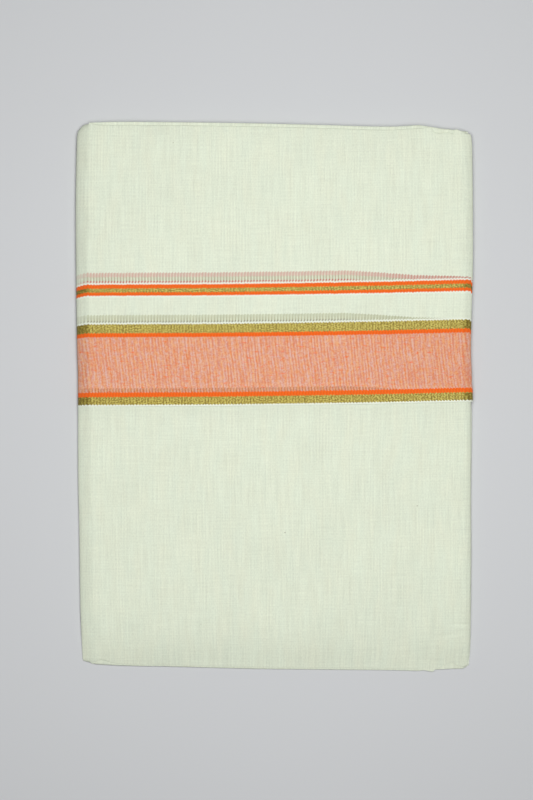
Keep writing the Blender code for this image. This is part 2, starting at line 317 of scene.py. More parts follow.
# %% Creases
Crease = namedtuple("Crease", "x1 y1 x2 y2 lift width")
CREASES = (
    Crease(-142.5, 154, -142.0, 40, 0.40, 1.1),
    Crease(-141.5, 30, -140.5, -90, 0.16, 1.4),
    Crease(132, -175.5, 156, -176.0, -0.46, 1.0),
    Crease(132, -177.5, 156, -178.0, 0.30, 1.0),
    Crease(124, -167, 132, -175, -0.42, 1.5),
    Crease(122, -186, 151, -181, -0.32, 1.6),
    Crease(124, -184, 125, -210, 0.40, 1.8),
    Crease(73, -34, 93, -74, 0.40, 1.6),
    Crease(110, -38, 94, -54, -0.32, 2.2),
    Crease(107.5, -98, 108, -144, 0.32, 1.8),
    Crease(88, -120, 92, -200, -0.28, 6.0),
    Crease(118, 200, 121, 92, -0.24, 4.0),
    Crease(-138, 186, -84, 185, -0.28, 2.2),
    Crease(-50, 175, 30, 174, -0.16, 3.0),
    Crease(-50, 144, 0, 145, -0.16, 2.4),
    Crease(-112, 134, -52, 135, -0.16, 2.4),
    Crease(-96, -120, -90, -190, -0.10, 5.0),
)
Swell = namedtuple("Swell", "across up phase lift")
SWELLS = (
    Swell(0.021, 0.013, 0.4, 0.10),
    Swell(-0.034, 0.027, 2.1, 0.07),
    Swell(0.058, -0.044, 4.0, 0.045),
    Swell(0.011, 0.072, 1.2, 0.05),
)
CREASE_FADE = 9.0


def crease_lift(crease, x, y):
    run_x, run_y = crease.x2 - crease.x1, crease.y2 - crease.y1
    length = math.hypot(run_x, run_y)
    along = ((x - crease.x1) * run_x + (y - crease.y1) * run_y) / length
    aside = ((x - crease.x1) * run_y - (y - crease.y1) * run_x) / length
    if abs(aside) > 3 * crease.width or not 0 < along < length:
        return 0.0
    fade = ease(along / CREASE_FADE) * ease((length - along) / CREASE_FADE)
    return crease.lift * fade * math.exp(-((aside / crease.width) ** 2))


def face_lift(x, y):
    lift = sum(crease_lift(crease, x, y) for crease in CREASES)
    lift += sum(s.lift * math.sin(s.across * x + s.up * y + s.phase) for s in SWELLS)
    return lift


print("creases:", len(CREASES), "swells:", len(SWELLS))

# %% [markdown]
# ## The folded strip
# Seen from the bottom fold, the strip runs to and fro twelve times. On the left, where it was folded
# last, the passes turn round each other in one nest. On the right the first four join in a fold,
# sections five and six are the cloth's two cut ends, the next four join in a second fold, and the
# last two in a small one. A spot is one place along that route. It is found for any share of the
# way through the strip's thickness, from its right side to its wrong side. Making the cloth as one
# route keeps the woven border in line all the way round the packet.

# %% Sections from the front down
SECTION_COUNT = 12
FILL = 0.94
THICK = FILL / SECTION_COUNT

Section = namedtuple("Section", "top top_tilt bottom bottom_tilt")
SECTIONS = {
    1: Section(0.0, 0.0, -1.4, 0.0),
    2: Section(2.6, 0.0, -0.3, 0.0),
    3: Section(0.5, 0.3, -0.8, 0.3),
    4: Section(1.0, -0.2, 0.0, 0.0),
    5: Section(0.3, 0.2, -1.3, -0.2),
    6: Section(0.8, -0.3, -0.5, 0.2),
    7: Section(0.1, 0.3, -0.9, 0.3),
    8: Section(1.2, -0.2, -0.2, -0.3),
    9: Section(0.4, 0.3, -1.2, 0.2),
    10: Section(0.9, 0.2, -0.4, -0.2),
    11: Section(0.2, -0.3, -1.0, 0.3),
    12: Section(0.0, 0.0, -1.2, 0.0),
}
Roll = namedtuple("Roll", "high low upper_out lower_out depth")
ROLLS = (
    Roll(1, 4, 0.9, 0.3, 6.5),
    Roll(2, 3, -1.5, -3.6, 2.5),
    Roll(7, 10, 0.2, 1.3, 4.0),
    Roll(8, 9, -1.8, -0.7, 2.0),
    Roll(11, 12, -1.2, -0.4, 1.2),
)
LOWER_ROLL = 0.65
CUT_ENDS = {5: -2.2, 6: -3.0}
PEEK_END = 127.5
PEEK_FADE = 2.5
NEST_FADE = 3.0
SPINE_ROUNDING = {"top": 10.4, "bottom": 2.6}
OPEN_ROUNDING = {"top": 2.4, "bottom": 1.4}
LEAST_BULGE = 0.05


def level_of(section):
    return 1 - (section - 0.5) / SECTION_COUNT


def roll_of(section):
    return next((roll for roll in ROLLS if section in (roll.high, roll.low)), None)


def open_reach(section, upper):
    """How far a section's flat part reaches at the open side, before its fold begins."""
    roll = roll_of(section)
    if roll is None:
        return CUT_ENDS[section]
    return mix(roll.lower_out, roll.upper_out, upper) - roll.depth * mix(LOWER_ROLL, 1, upper)


def bulge_share(v, rounding):
    """How full a fold's bulge is, a share v of the way up. It dies away at the packet's corners."""
    from_top = (1 - v) * PACKET_LENGTH / rounding["top"]
    from_bottom = v * PACKET_LENGTH / rounding["bottom"]
    near = min(from_top, from_bottom, 1.0)
    return max(math.sqrt(1 - (1 - near) ** 2), LEAST_BULGE)


print("sections:", SECTION_COUNT, "folds at the open side:", len(ROLLS))

# %% Spots along the route
Spot = namedtuple("Spot", "u level spine_bulge open_bulge first second blend along")
OPEN_REACH = 6.0
FLAT_LENGTH = 2 * HALF_WIDTH - SPINE_REACH - OPEN_REACH
STACK_HEIGHT = 13.0
SPINE_BLUNTNESS = 1.62
ROLL_BLUNTNESS = 2.0


def turn_depth(first, second, at_spine):
    if at_spine:
        return SPINE_REACH * abs(level_of(first) - level_of(second))
    return roll_of(first).depth


def turn_length(first, second, at_spine):
    """The way round a turn: down one of its two slopes to its nose, and back along the other."""
    half_height = STACK_HEIGHT * abs(level_of(first) - level_of(second)) / 2
    return 2 * math.hypot(turn_depth(first, second, at_spine), half_height)


def flat_spot(section, facing, u, along):
    """A spot on a section's flat run. facing is 1 where the cloth's right side is up."""

    def spot(share):
        level = level_of(section) + facing * (0.5 - share) * THICK
        return Spot(u, level, 0.0, 0.0, section, section, 0.0, along)

    return spot


def turn_spot(first, second, facing, share_round, at_spine, along):
    """A spot on the turn from one section to another, round the spine or the open side."""
    high, low = min(first, second), max(first, second)
    centre = (level_of(high) + level_of(low)) / 2
    half = (level_of(high) - level_of(low)) / 2
    going_down = first < second
    outside = facing if going_down else -facing
    turn = mix(1, -1, share_round) if going_down else mix(-1, 1, share_round)
    roll = roll_of(high)

    def spot(share):
        radius = half + outside * (0.5 - share) * THICK
        level = centre + radius * turn
        if at_spine:
            bulge = SPINE_REACH * radius / 0.5 * (1 - abs(turn) ** SPINE_BLUNTNESS)
            return Spot(0.0, level, bulge, 0.0, first, second, share_round, along)
        nose = roll.depth * radius / (half + THICK / 2)
        bulge = nose * (1 - abs(turn) ** ROLL_BLUNTNESS)
        return Spot(1.0, level, 0.0, bulge, first, second, share_round, along)

    return spot


def strip_route(sections, facing, leftwards, flat_shares, turn_steps, end_share, start_along):
    """Spots along the route through the sections. The first and last start past end_share."""
    spots = []
    along = start_along
    last = len(sections) - 1
    for index, section in enumerate(sections):
        shares = list(flat_shares)
        if index in (0, last):
            shares = [share for share in shares if share >= end_share]
        if leftwards:
            shares.reverse()
        start = shares[0]
        spots += [flat_spot(section, facing, u, along + abs(u - start) * FLAT_LENGTH) for u in shares]
        along += abs(shares[-1] - start) * FLAT_LENGTH
        if index < last:
            following = sections[index + 1]
            length = turn_length(section, following, leftwards)
            for step in range(1, turn_steps):
                share = step / turn_steps
                place = along + length * share
                spots.append(turn_spot(section, following, facing, share, leftwards, place))
            along += length
        facing = -facing
        leftwards = not leftwards
    return spots, along - start_along


# %% From a spot to a point in space
UPPER_STEP = 4.0
Slip = namedtuple("Slip", "start end fade depth")
SLIP = Slip(126.0, 144.0, 2.5, 3.4)


def edge_out(section, edge, x):
    row = SECTIONS[section]
    tilt = x / HALF_WIDTH
    if edge == "top":
        slipped = ease((x - SLIP.start) / SLIP.fade) - ease((x - SLIP.end) / SLIP.fade)
        return row.top + row.top_tilt * tilt - (SLIP.depth * slipped if section == 1 else 0)
    return row.bottom + row.bottom_tilt * tilt


def strip_point(spot, v, pull):
    """The strip's point at a spot, a share v of the way up. pull rounds its folded edges."""
    upper = ease((v - SELVEDGE_SHARE) * PACKET_LENGTH / UPPER_STEP + 0.5)
    x_guess = mix(-HALF_WIDTH, HALF_WIDTH, spot.u)
    top = mix(edge_out(spot.first, "top", x_guess), edge_out(spot.second, "top", x_guess), spot.blend)
    bottom = mix(
        edge_out(spot.first, "bottom", x_guess), edge_out(spot.second, "bottom", x_guess), spot.blend
    )
    if top > 0:
        top *= ease((x_guess + HALF_WIDTH - 1) / NEST_FADE)
        top *= 1 - ease((x_guess - PEEK_END) / PEEK_FADE)
    left = spot.spine_bulge * bulge_share(v, SPINE_ROUNDING) - SPINE_REACH
    right = mix(open_reach(spot.first, upper), open_reach(spot.second, upper), spot.blend)
    right += spot.open_bulge * mix(LOWER_ROLL, 1, upper) * bulge_share(v, OPEN_ROUNDING)
    reach = Reach(round(left, 4), round(right - pull, 4), round(top - pull, 4), round(bottom - pull, 4))
    x, y = outline_at(reach).point(spot.u, v)
    return x, y, spot.level * stack_height(x, y)


# %% Closed cloth from six grids
WELD = 0.0005 * MM
SHARP_ANGLE = 60


def add_patch(mesh, uv_layer, columns, rows, place):
    """A grid of faces through place(column, row), which gives a point and its cloth coordinates."""
    grid = bmesh.ops.create_grid(mesh, x_segments=len(columns) - 1, y_segments=len(rows) - 1, size=1)
    marks = {}
    for index, vert in enumerate(grid["verts"]):
        vert.co, marks[vert] = place(columns[index % len(columns)], rows[index // len(columns)])
    for vert in grid["verts"]:
        for loop in vert.link_loops:
            loop[uv_layer].uv = marks[vert]


def make_cloth(name, spots, rows, shares, place):
    """A closed piece of cloth whose six sides are grids through place(spot, row, share)."""
    mesh = bmesh.new()
    uv_layer = mesh.loops.layers.uv.new("cloth")
    for end in (shares[0], shares[-1]):
        add_patch(mesh, uv_layer, spots, rows, lambda spot, row: place(spot, row, end))
    for end in (rows[0], rows[-1]):
        add_patch(mesh, uv_layer, spots, shares, lambda spot, share: place(spot, end, share))
    for end in (spots[0], spots[-1]):
        add_patch(mesh, uv_layer, rows, shares, lambda row, share: place(end, row, share))
    bmesh.ops.remove_doubles(mesh, verts=mesh.verts, dist=WELD)
    bmesh.ops.recalc_face_normals(mesh, faces=mesh.faces)
    data = bpy.data.meshes.new(name)
    mesh.to_mesh(data)
    mesh.free()
    data.shade_smooth()
    data.set_sharp_from_angle(angle=math.radians(SHARP_ANGLE))
    piece = bpy.data.objects.new(name, data)
    scene.collection.objects.link(piece)
    print(name, "faces:", len(data.polygons))
    return piece


# %% [markdown]
# ## The bordered flap
# The flap is the turned-over part. Its leaf is thin at the selvedge, where only one sheet ends,
# and full where the back leaf joins it. It starts a finger's width inside the fold on the right,
# rolls over it, crosses the front, turns round the spine and runs back along the underside.

# %% Rows and shares
LEAF_SHARE = 0.27
LEAF_RUN = (8.0, 16.0)
STUB_SHARE = 0.955
STUB_LENGTH = (1 - STUB_SHARE) * FLAT_LENGTH
FLAT_SHARES = spread(0.0, 0.06, 12) + spread(0.06, 0.9, 84)[1:] + spread(0.9, 1.0, 22)[1:]
WALL_SHARES = (0.0, 0.12, 0.3, 0.5, 0.7, 0.88, 1.0)
FAR_FROM_BORDER = 0.4
UPPER_STACK = 14
NOSE = 1.7
LIFT_LEVEL = 0.8
LIFT_LEVEL_FADE = 0.12
LIFT_SIDE_FADE = 5
LIFT_END = 4
LIFT_END_FADE = 6
CORNER_SHARES = (0.0, 0.0012, 0.004, 0.009, 0.016, 0.025)


def rows_between(first, last, steps):
    """Rows up the cloth, closer together where they reach the top or bottom fold."""
    low = [share for share in CORNER_SHARES if first == 0.0]
    high = [1 - share for share in reversed(CORNER_SHARES) if last == 1.0]
    start = low.pop() if low else first
    end = high.pop(0) if high else last
    return low + spread(start, end, steps) + high


def half_round(share, thickness):
    """How far a folded edge draws back, a share of the way through the cloth."""
    return thickness / 2 * (1 - math.sqrt(max(1 - (2 * share - 1) ** 2, 0.0)))


def with_lift(spot, x, y, z):
    """Adds the creases to what lies near the front face, and fades them out below it."""
    held = ease((spot.level - LIFT_LEVEL) / LIFT_LEVEL_FADE)
    held *= ease((HALF_WIDTH + 1 - abs(x)) / LIFT_SIDE_FADE)
    held *= ease((HALF_HEIGHT - LIFT_END - abs(y)) / LIFT_END_FADE)
    return Vector((x, y, z + face_lift(x, y) * held)) * MM


OUTER_SPOTS, OUTER_LENGTH = strip_route(
    [4, 1, 12, 11], facing=-1, leftwards=False, flat_shares=FLAT_SHARES, turn_steps=12,
    end_share=STUB_SHARE, start_along=-STUB_LENGTH,
)
print("flap's length round the packet:", round(OUTER_LENGTH), "mm")


# %% Flap
def flap_place(spot_at, row, share):
    x_row, y_row, _ = strip_point(spot_at(0.0), row, 0.0)
    above = y_row - selvedge_y(x_row)
    fullness = mix(LEAF_SHARE, 1.0, ease((above - LEAF_RUN[0]) / (LEAF_RUN[1] - LEAF_RUN[0])))
    spot = spot_at(share * fullness)
    pull = NOSE * half_round(share, THICK * UPPER_STACK * fullness)
    x, y, z = strip_point(spot, row, pull)
    height = (y - selvedge_y(x)) * MM if share < 0.5 else FAR_FROM_BORDER
    return with_lift(spot, x, y, z), (spot.along * MM, height)


flap_rows = rows_between(SELVEDGE_SHARE, 1.0, 118)
flap = make_cloth("flap_cloth", OUTER_SPOTS, flap_rows, WALL_SHARES, flap_place)

# %% [markdown]
# ## The plain body
# Below the selvedge lies the plain cloth of the layer beneath. It shows down to the bottom fold,
# turns round the spine and runs back along the underside. Its top edge is tucked 7 mm under the
# flap, as the layer beneath would run on, so that no slit shows at the selvedge. Its rows are
# closest together at the bottom fold and across the creases just above it.

# %% Body
TUCK = 7.0
TUCK_LEVEL = 0.55
TUCK_FADE = 0.25
TUCKED_ROW = SELVEDGE_SHARE + TUCK / PACKET_LENGTH
MEETING_GAP = 0.15
MET_ROW = SELVEDGE_SHARE - MEETING_GAP / PACKET_LENGTH
LOWER_STACK = 8
LEAF_CLEARANCE = 0.10
BODY_FADE = 45.0
HEM_ROWS = [0.024, 0.018, 0.0125, 0.008, 0.004]
HEM_REACH = 0.03
CREASED_ROWS = (0.078, 0.098)


def body_place(spot_at, row, share):
    front = ease((spot_at(0.5).level - TUCK_LEVEL) / TUCK_FADE)
    if row == TUCKED_ROW:
        row = mix(MET_ROW, TUCKED_ROW, front)
    below = (SELVEDGE_SHARE - row) * PACKET_LENGTH
    covered = (LEAF_SHARE + LEAF_CLEARANCE) * (1 - ease(below / BODY_FADE)) * front
    spot = spot_at(mix(covered, 1.0, share))
    pull = NOSE * half_round(share, THICK * LOWER_STACK)
    x, y, z = strip_point(spot, row, pull)
    return with_lift(spot, x, y, z), (spot.along * MM, (y - selvedge_y(x)) * MM)


body_rows = rows_between(0.0, CREASED_ROWS[0], 18) + spread(*CREASED_ROWS, 14)[1:]
body_rows += spread(CREASED_ROWS[1], SELVEDGE_SHARE - HEM_REACH, 84)[1:]
body_rows += [SELVEDGE_SHARE - below for below in HEM_ROWS] + [TUCKED_ROW]
body = make_cloth("body_cloth", OUTER_SPOTS, body_rows, WALL_SHARES, body_place)

# %% [markdown]
# ## The inner runs
# Ten sections lie inside. They are the rest of the same strip, in two runs that start at the
# folds on the right: six sections to one cut end and four to the other. The flap's stubs lie in
# the first 13 mm of each run, and tie the pieces together there. Only the folds of the runs show,
# at the open side and at the two ends, so they have fewer columns. They carry the border too, a
# little slipped against the front.

# %% Inner sections
INNER_SHARES = spread(0.0, 1.0, 16)
inner_rows = rows_between(0.0, SELVEDGE_SHARE, 22)[:-1] + rows_between(SELVEDGE_SHARE, 1.0, 22)
BORDER_SLIP = 0.6
INNER_LOWER_STACK = 8.5
INNER_STEP_RATE = 12


def inner_place(spot_at, row, share):
    spot = spot_at(share)
    upper = ease((row - SELVEDGE_SHARE) * INNER_STEP_RATE + 0.5)
    thickness = THICK * mix(INNER_LOWER_STACK, UPPER_STACK, upper)
    pull = NOSE * half_round(share, thickness)
    x, y, z = strip_point(spot, row, pull)
    height = (y - selvedge_y(x) + BORDER_SLIP) * MM if share < 0.5 else FAR_FROM_BORDER
    return Vector((x, y, z)) * MM, (spot.along * MM, height)


long_route, long_length = strip_route(
    [11, 2, 3, 10, 7, 6], facing=1, leftwards=True, flat_shares=INNER_SHARES, turn_steps=8,
    end_share=0.0, start_along=OUTER_LENGTH,
)
short_route, short_length = strip_route(
    [4, 9, 8, 5], facing=-1, leftwards=True, flat_shares=INNER_SHARES, turn_steps=8,
    end_share=0.0, start_along=2 * OUTER_LENGTH,
)
long_run = make_cloth("inner_run_long", long_route, inner_rows, WALL_SHARES, inner_place)
short_run = make_cloth("inner_run_short", short_route, inner_rows, WALL_SHARES, inner_place)

# %% [markdown]
# ## The weave and its dyes
# The cotton is a plain weave of off-white yarn. Its threads are uneven, so the ground shows thin
# streaks along the weft and fainter ones along the warp, with a few slubs and specks. Each border
# is woven from dyed warp threads: gold zari, orange, and a salmon band where orange warp crosses
# off-white weft. All of it is worked out from the cloth's own coordinates: how far along the strip
# a place is, and how far in from the selvedge, in millimetres.

# %% Node helpers
Grain = namedtuple("Grain", "width length seed detail")
Span = namedtuple("Span", "low high first last")
MIX_SHARE, MIX_FIRST, MIX_LAST = 0, 6, 7
MIXED_COLOUR = 2


class Dye:
    """One material. Each call adds a node and hands back its output."""

    def __init__(self, name):
        self.material = bpy.data.materials.new(name)
        self.material.use_nodes = True
        self.tree = self.material.node_tree
        self.finish = self.tree.nodes["Principled BSDF"]

    def put(self, socket, value):
        if isinstance(value, bpy.types.NodeSocket):
            self.tree.links.new(value, socket)
        else:
            socket.default_value = value

    def node(self, kind, inputs, output=0, **settings):
        node = self.tree.nodes.new("ShaderNode" + kind)
        for name, value in settings.items():
            setattr(node, name, value)
        for key, value in inputs.items():
            self.put(node.inputs[key], value)
        return node.outputs[output]

    def maths(self, operation, *values):
        return self.node("Math", dict(enumerate(values)), operation=operation)

    def add(self, total, part, strength):
        """The total with a part added to it at a strength."""
        return self.maths("MULTIPLY_ADD", part, strength, total)

    def about_zero(self, noise):
        return self.maths("SUBTRACT", noise, 0.5)

    def blend(self, share, first, last, way="MIX"):
        inputs = {MIX_SHARE: share, MIX_FIRST: first, MIX_LAST: last}
        return self.node("Mix", inputs, MIXED_COLOUR, data_type="RGBA", blend_type=way)

    def stretch(self, value, span, kind="LINEAR"):
        """Takes the value from low..high to first..last, and holds it level past the ends."""
        return self.node("MapRange", dict(enumerate((value, *span))), interpolation_type=kind)

    def noise(self, across, up, grain):
        """Cloudy noise whose patches are about the grain's width by length, in millimetres."""
        wide = self.maths("DIVIDE", across, grain.width)
        tall = self.maths("DIVIDE", up, grain.length)
        place = self.node("CombineXYZ", {0: wide, 1: tall, 2: grain.seed})
        return self.node("TexNoise", {"Vector": place, "Scale": 1.0, "Detail": grain.detail})

    def wave(self, value, pitch, shift=0.0):
        """A wave between -1 and 1 that repeats every pitch millimetres."""
        turned = self.maths("MULTIPLY_ADD", value, 2 * math.pi / pitch, shift)
        return self.maths("SINE", turned)

    def ramp(self, value, rows, interpolation):
        """A colour ramp through rows of (place, colour) with places from 0 to 1."""
        node = self.tree.nodes.new("ShaderNodeValToRGB")
        node.color_ramp.interpolation = interpolation
        stops = node.color_ramp.elements
        stops[0].position, stops[0].color = rows[0]
        stops[1].position, stops[1].color = rows[-1]
        for place, colour in rows[1:-1]:
            stops.new(place).color = colour
        self.put(node.inputs[0], value)
        return node.outputs


# %% Yarn colours and the border's plan
CREAM = (0.731, 0.790, 0.641, 1)
WARM_CREAM = (0.749, 0.779, 0.618, 1)
WHITE = (0.82, 0.86, 0.74, 1)
ORANGE = (0.905, 0.150, 0.018, 1)
DEEP_ORANGE = (0.80, 0.115, 0.012, 1)
DEEP_SALMON = (0.73, 0.26, 0.145, 1)
PALE_SALMON = (0.80, 0.47, 0.33, 1)
ORANGE_SHIFT = (1.05, 0.95, 0.66, 1)
LILAC_SHIFT = (0.95, 1.08, 1.36, 1)
PEACH = (0.86, 0.55, 0.34, 1)
GOLD = (0.36, 0.280, 0.050, 1)
DARK_GOLD = (0.20, 0.150, 0.026, 1)
PALE_GOLD = (0.51, 0.44, 0.11, 1)
SPECK = (0.34, 0.33, 0.24, 1)

Band = namedtuple("Band", "start yarn")
BORDER = (
    Band(0.0, "white"), Band(1.15, "zari"), Band(7.2, "orange"), Band(10.4, "salmon"),
    Band(52.9, "orange"), Band(56.0, "zari"), Band(62.9, "white"), Band(64.3, "cream"),
    Band(83.6, "white"), Band(84.8, "orange"), Band(87.6, "zari"), Band(90.6, "orange"),
    Band(93.3, "white"), Band(94.6, "cream"),
)
PLAN_REACH = 110.0
YARN_MASKS = {
    "cream": (0, 0, 0, 0), "white": (0, 0, 0, 1), "zari": (1, 0, 0, 0),
    "orange": (0, 1, 0, 0), "salmon": (0, 0, 1, 0),
}
Ghost = namedtuple("Ghost", "start tint teeth")
PLAIN = (1, 1, 1)
GHOSTS = (
    Ghost(0.0, PLAIN, 0.0), Ghost(1.15, (0.68, 0.58, 0.44), 1.0), Ghost(7.2, PLAIN, 0.0),
    Ghost(10.4, (0.97, 0.94, 0.93), 0.0), Ghost(52.9, (0.92, 0.70, 0.70), 0.5),
    Ghost(56.0, (0.42, 0.38, 0.32), 1.0), Ghost(58.8, (0.70, 0.67, 0.56), 0.75),
    Ghost(60.8, (0.75, 0.73, 0.64), 0.45), Ghost(62.9, PLAIN, 0.0),
    Ghost(84.8, (0.74, 0.16, 0.18), 1.0), Ghost(87.6, (0.70, 0.61, 0.53), 0.85),
    Ghost(90.6, (0.86, 0.54, 0.55), 0.5), Ghost(93.3, PLAIN, 0.0),
)
TEETH_PITCH = 2.33
GHOST_OFFSETS = (
    CurveRow(7, 0.1), CurveRow(26, 1.3), CurveRow(49, 2.2), CurveRow(78, 4.9), CurveRow(104, 6.6),
)
GHOST_SCALE = 10
GHOST_SLACK = 0.06
GHOST_SLACK_START = 64.0


# %% [markdown]
# ### The cotton ground
# The yarn is uneven. Its thick and thin weft shows as streaks up the cloth, its warp as fainter
# rows, and fine ribs show here and there. Slubs are thick places in the yarn, and specks are bits
# of seed husk left in the cotton.

# %% Grains of the ground
WEFT_STREAKS = Grain(1.3, 26.0, 1.0, 3.0)
THREAD_MESH = Grain(0.75, 1.8, 16.0, 1.0)
WIDE_STREAKS = Grain(7.0, 90.0, 2.0, 2.0)
WARP_ROWS = Grain(26.0, 0.9, 3.0, 2.0)
SOFT_CLOUDS = Grain(45.0, 45.0, 4.0, 2.0)
RIB_PATCHES = Grain(22.0, 38.0, 5.0, 1.0)
SLUBS = Grain(0.8, 11.0, 6.0, 1.0)
WARM_PATCHES = Grain(9.0, 30.0, 7.0, 2.0)

Tone = namedtuple("Tone", "grain strength")
TONES = (
    Tone(WEFT_STREAKS, 0.24), Tone(THREAD_MESH, 0.21), Tone(WIDE_STREAKS, 0.06),
    Tone(WARP_ROWS, 0.14), Tone(SOFT_CLOUDS, 0.07),
)
RIB_STRENGTH = 0.024
RIBBED_SPAN = Span(0.48, 0.66, 0.0, 1.0)
SLUB_SPAN = Span(0.74, 0.84, 0.0, 0.06)
WARM_SPAN = Span(0.35, 0.7, 0.0, 0.6)
WEFT_PITCH = 0.46
WARP_PITCH = 0.52
SPECK_SPACING = 17.0
SPECK_CHANCE = 0.72
SPECK_SPAN = Span(0.022, 0.040, 0.75, 0.0)
print("tones of the ground:", len(TONES))


# %% Weave of the ground
def cloth_place(dye):
    """Millimetres along the strip and in from the selvedge."""
    cloth = dye.node("UVMap", {}, uv_map="cloth")
    in_mm = dye.node("VectorMath", {0: cloth, "Scale": 1000.0}, operation="SCALE")
    split = dye.tree.nodes.new("ShaderNodeSeparateXYZ")
    dye.put(split.inputs[0], in_mm)
    return split.outputs[0], split.outputs[1]


def with_specks(dye, across, up, colour):
    """Dark specks in about a quarter of the cells of a loose net."""
    place = dye.node("CombineXYZ", {0: across, 1: up, 2: 0.0})
    cells = dye.tree.nodes.new("ShaderNodeTexVoronoi")
    dye.put(cells.inputs["Vector"], place)
    dye.put(cells.inputs["Scale"], 1 / SPECK_SPACING)
    chance = dye.node("SeparateColor", {0: cells.outputs["Color"]})
    rare = dye.maths("GREATER_THAN", chance, SPECK_CHANCE)
    speck = dye.stretch(cells.outputs["Distance"], SPECK_SPAN)
    return dye.blend(dye.maths("MULTIPLY", speck, rare), colour, SPECK)


def cotton_ground(dye, across, up):
    """The ground's colour, and how its threads stand up."""
    noises = {tone.grain: dye.noise(across, up, tone.grain) for tone in TONES}
    shade = 0.0
    for tone in TONES:
        shade = dye.add(shade, dye.about_zero(noises[tone.grain]), tone.strength)
    patches = dye.stretch(dye.noise(across, up, RIB_PATCHES), RIBBED_SPAN)
    ribs = dye.maths("MULTIPLY", dye.wave(across, TEETH_PITCH), patches)
    shade = dye.add(shade, ribs, RIB_STRENGTH)
    slubs = dye.stretch(dye.noise(across, up, SLUBS), SLUB_SPAN)
    shade = dye.maths("ADD", dye.maths("ADD", shade, slubs), 1.0)
    warmth = dye.stretch(dye.noise(across, up, WARM_PATCHES), WARM_SPAN)
    colour = dye.blend(warmth, CREAM, WARM_CREAM)
    colour = dye.node("VectorMath", {0: colour, "Scale": shade}, operation="SCALE")
    threads = dye.maths("MULTIPLY", dye.wave(across, WEFT_PITCH), 0.5)
    threads = dye.add(threads, dye.wave(up, WARP_PITCH), 0.35)
    threads = dye.add(threads, noises[WEFT_STREAKS], 1.6)
    threads = dye.add(threads, noises[WARP_ROWS], 0.8)
    return with_specks(dye, across, up, colour), threads


# %% Finish of the cloth
BUMP_STRENGTH = 0.55
BUMP_DEPTH = 0.05 * MM
COTTON_ROUGHNESS = 0.92
COTTON_SHINE = 0.15
NAP = 0.12
NAP_ROUGHNESS = 0.5
NAP_TINT = (0.95, 1.0, 0.92, 1)


def finish_cloth(dye, colour, threads, roughness, metal):
    bump = dye.node("Bump", {"Strength": BUMP_STRENGTH, "Distance": BUMP_DEPTH, "Height": threads})
    dye.put(dye.finish.inputs["Normal"], bump)
    dye.put(dye.finish.inputs["Base Color"], colour)
    dye.put(dye.finish.inputs["Roughness"], roughness)
    dye.put(dye.finish.inputs["Metallic"], metal)
    dye.put(dye.finish.inputs["Specular IOR Level"], COTTON_SHINE)
    dye.put(dye.finish.inputs["Sheen Weight"], NAP)
    dye.put(dye.finish.inputs["Sheen Roughness"], NAP_ROUGHNESS)
    dye.put(dye.finish.inputs["Sheen Tint"], NAP_TINT)
    return dye.material


# %% [markdown]
# ### The border
# The border is woven with the cloth, in dyed and gilt warp threads set side by side in the loom.
# Its plan is a table of where each yarn starts. The lines between yarns are toothed, at the pitch
# of the ribs, and wander a little. The second leaf's border shows through the first as a faint
# ghost, a little further in, and grows fainter round the spine.

# %% Grains of the border
LINE_WANDER = Grain(2.2, 300.0, 9.0, 2.0)
GHOST_DRIFT = Grain(30.0, 400.0, 8.0, 2.0)
GHOST_UNEVEN = Grain(3.0, 2.2, 15.0, 1.0)
SALMON_DRIFT = Grain(16.0, 26.0, 9.5, 1.0)
HUE_STREAKS = Grain(2.0, 3.0, 10.0, 1.0)
HUE_CLOUDS = Grain(10.0, 6.0, 11.5, 1.0)
COLUMN_PATCHES = Grain(12.0, 16.0, 10.5, 1.0)
WEFT_FLECKS = Grain(1.0, 14.0, 11.0, 0.0)
SALMON_GRAIN = Grain(0.85, 0.9, 12.5, 0.0)
PALE_PICKS = Grain(1.3, 2.6, 13.0, 0.0)
ORANGE_FLOATS = Grain(5.0, 1.7, 12.0, 0.0)
ZARI_GRAIN = Grain(1.2, 0.85, 14.0, 0.0)
ZARI_COLUMNS = Grain(1.4, 6.0, 14.5, 0.0)

TOOTH_LENGTH = 0.34
WANDER_REACH = 1.1
DIP = 2.0
WEFT_LEAN = -0.09
MOIRE_PITCH = 4.85
MOIRE_DRIFT = 9.0
BRICK_PITCH = 2.4
WHITE_SHARE = 0.9
ZARI_METAL = 0.15
ZARI_ROUGHNESS = -0.45
RAISED_YARN = 1.2
RAISED_GLINT = 0.9
print("border:", len(BORDER), "bands and", len(GHOSTS), "tints of its ghost")

# %% Spans of the border
DIP_AT_SPINE = Span(302.0, 314.0, 0.0, DIP)
DIP_AT_ROLL = Span(9.5, 7.0, 0.0, DIP)
DIP_FURTHER_IN = Span(20.0, 95.0, 0.15, 1.0)
GHOST_AT_SPINE = Span(300.0, 309.0, 1.0, 0.4)
GHOST_AT_ROLL = Span(20.0, 100.0, 1.0, 0.0)
GHOST_TOOTH = Span(-0.3, 0.5, 0.0, 1.0)
GHOST_GAPS = Span(0.3, 0.5, 1.0, 0.75)
SALMON_COLUMNS = Span(0.35, 0.6, 0.4, 1.0)
SALMON_SHADES = Span(-0.5, 0.5, 0.0, 1.0)
SALMON_HUES = Span(-0.6, 0.6, 0.0, 1.0)
PICK_SPAN = Span(0.70, 0.82, 0.0, 0.6)
FLOAT_SPAN = Span(0.68, 0.80, 0.0, 0.55)
ORANGE_RIBS = Span(-1.0, 1.0, 0.0, 0.8)
# Painted shade: the gold is darkened towards the roll and the spine, where the turning cloth reflects
# the dim room.
PAINTED_SHADE_AT_ROLL = Span(7.0, 13.5, 0.9, 0.0)
PAINTED_SHADE_AT_SPINE = Span(301.5, 309.5, 0.0, 0.9)
DULL_GLINT = Span(0.22, 0.50, 1.0, 0.0)
BRIGHT_GLINT = Span(0.50, 0.78, 0.0, 1.0)


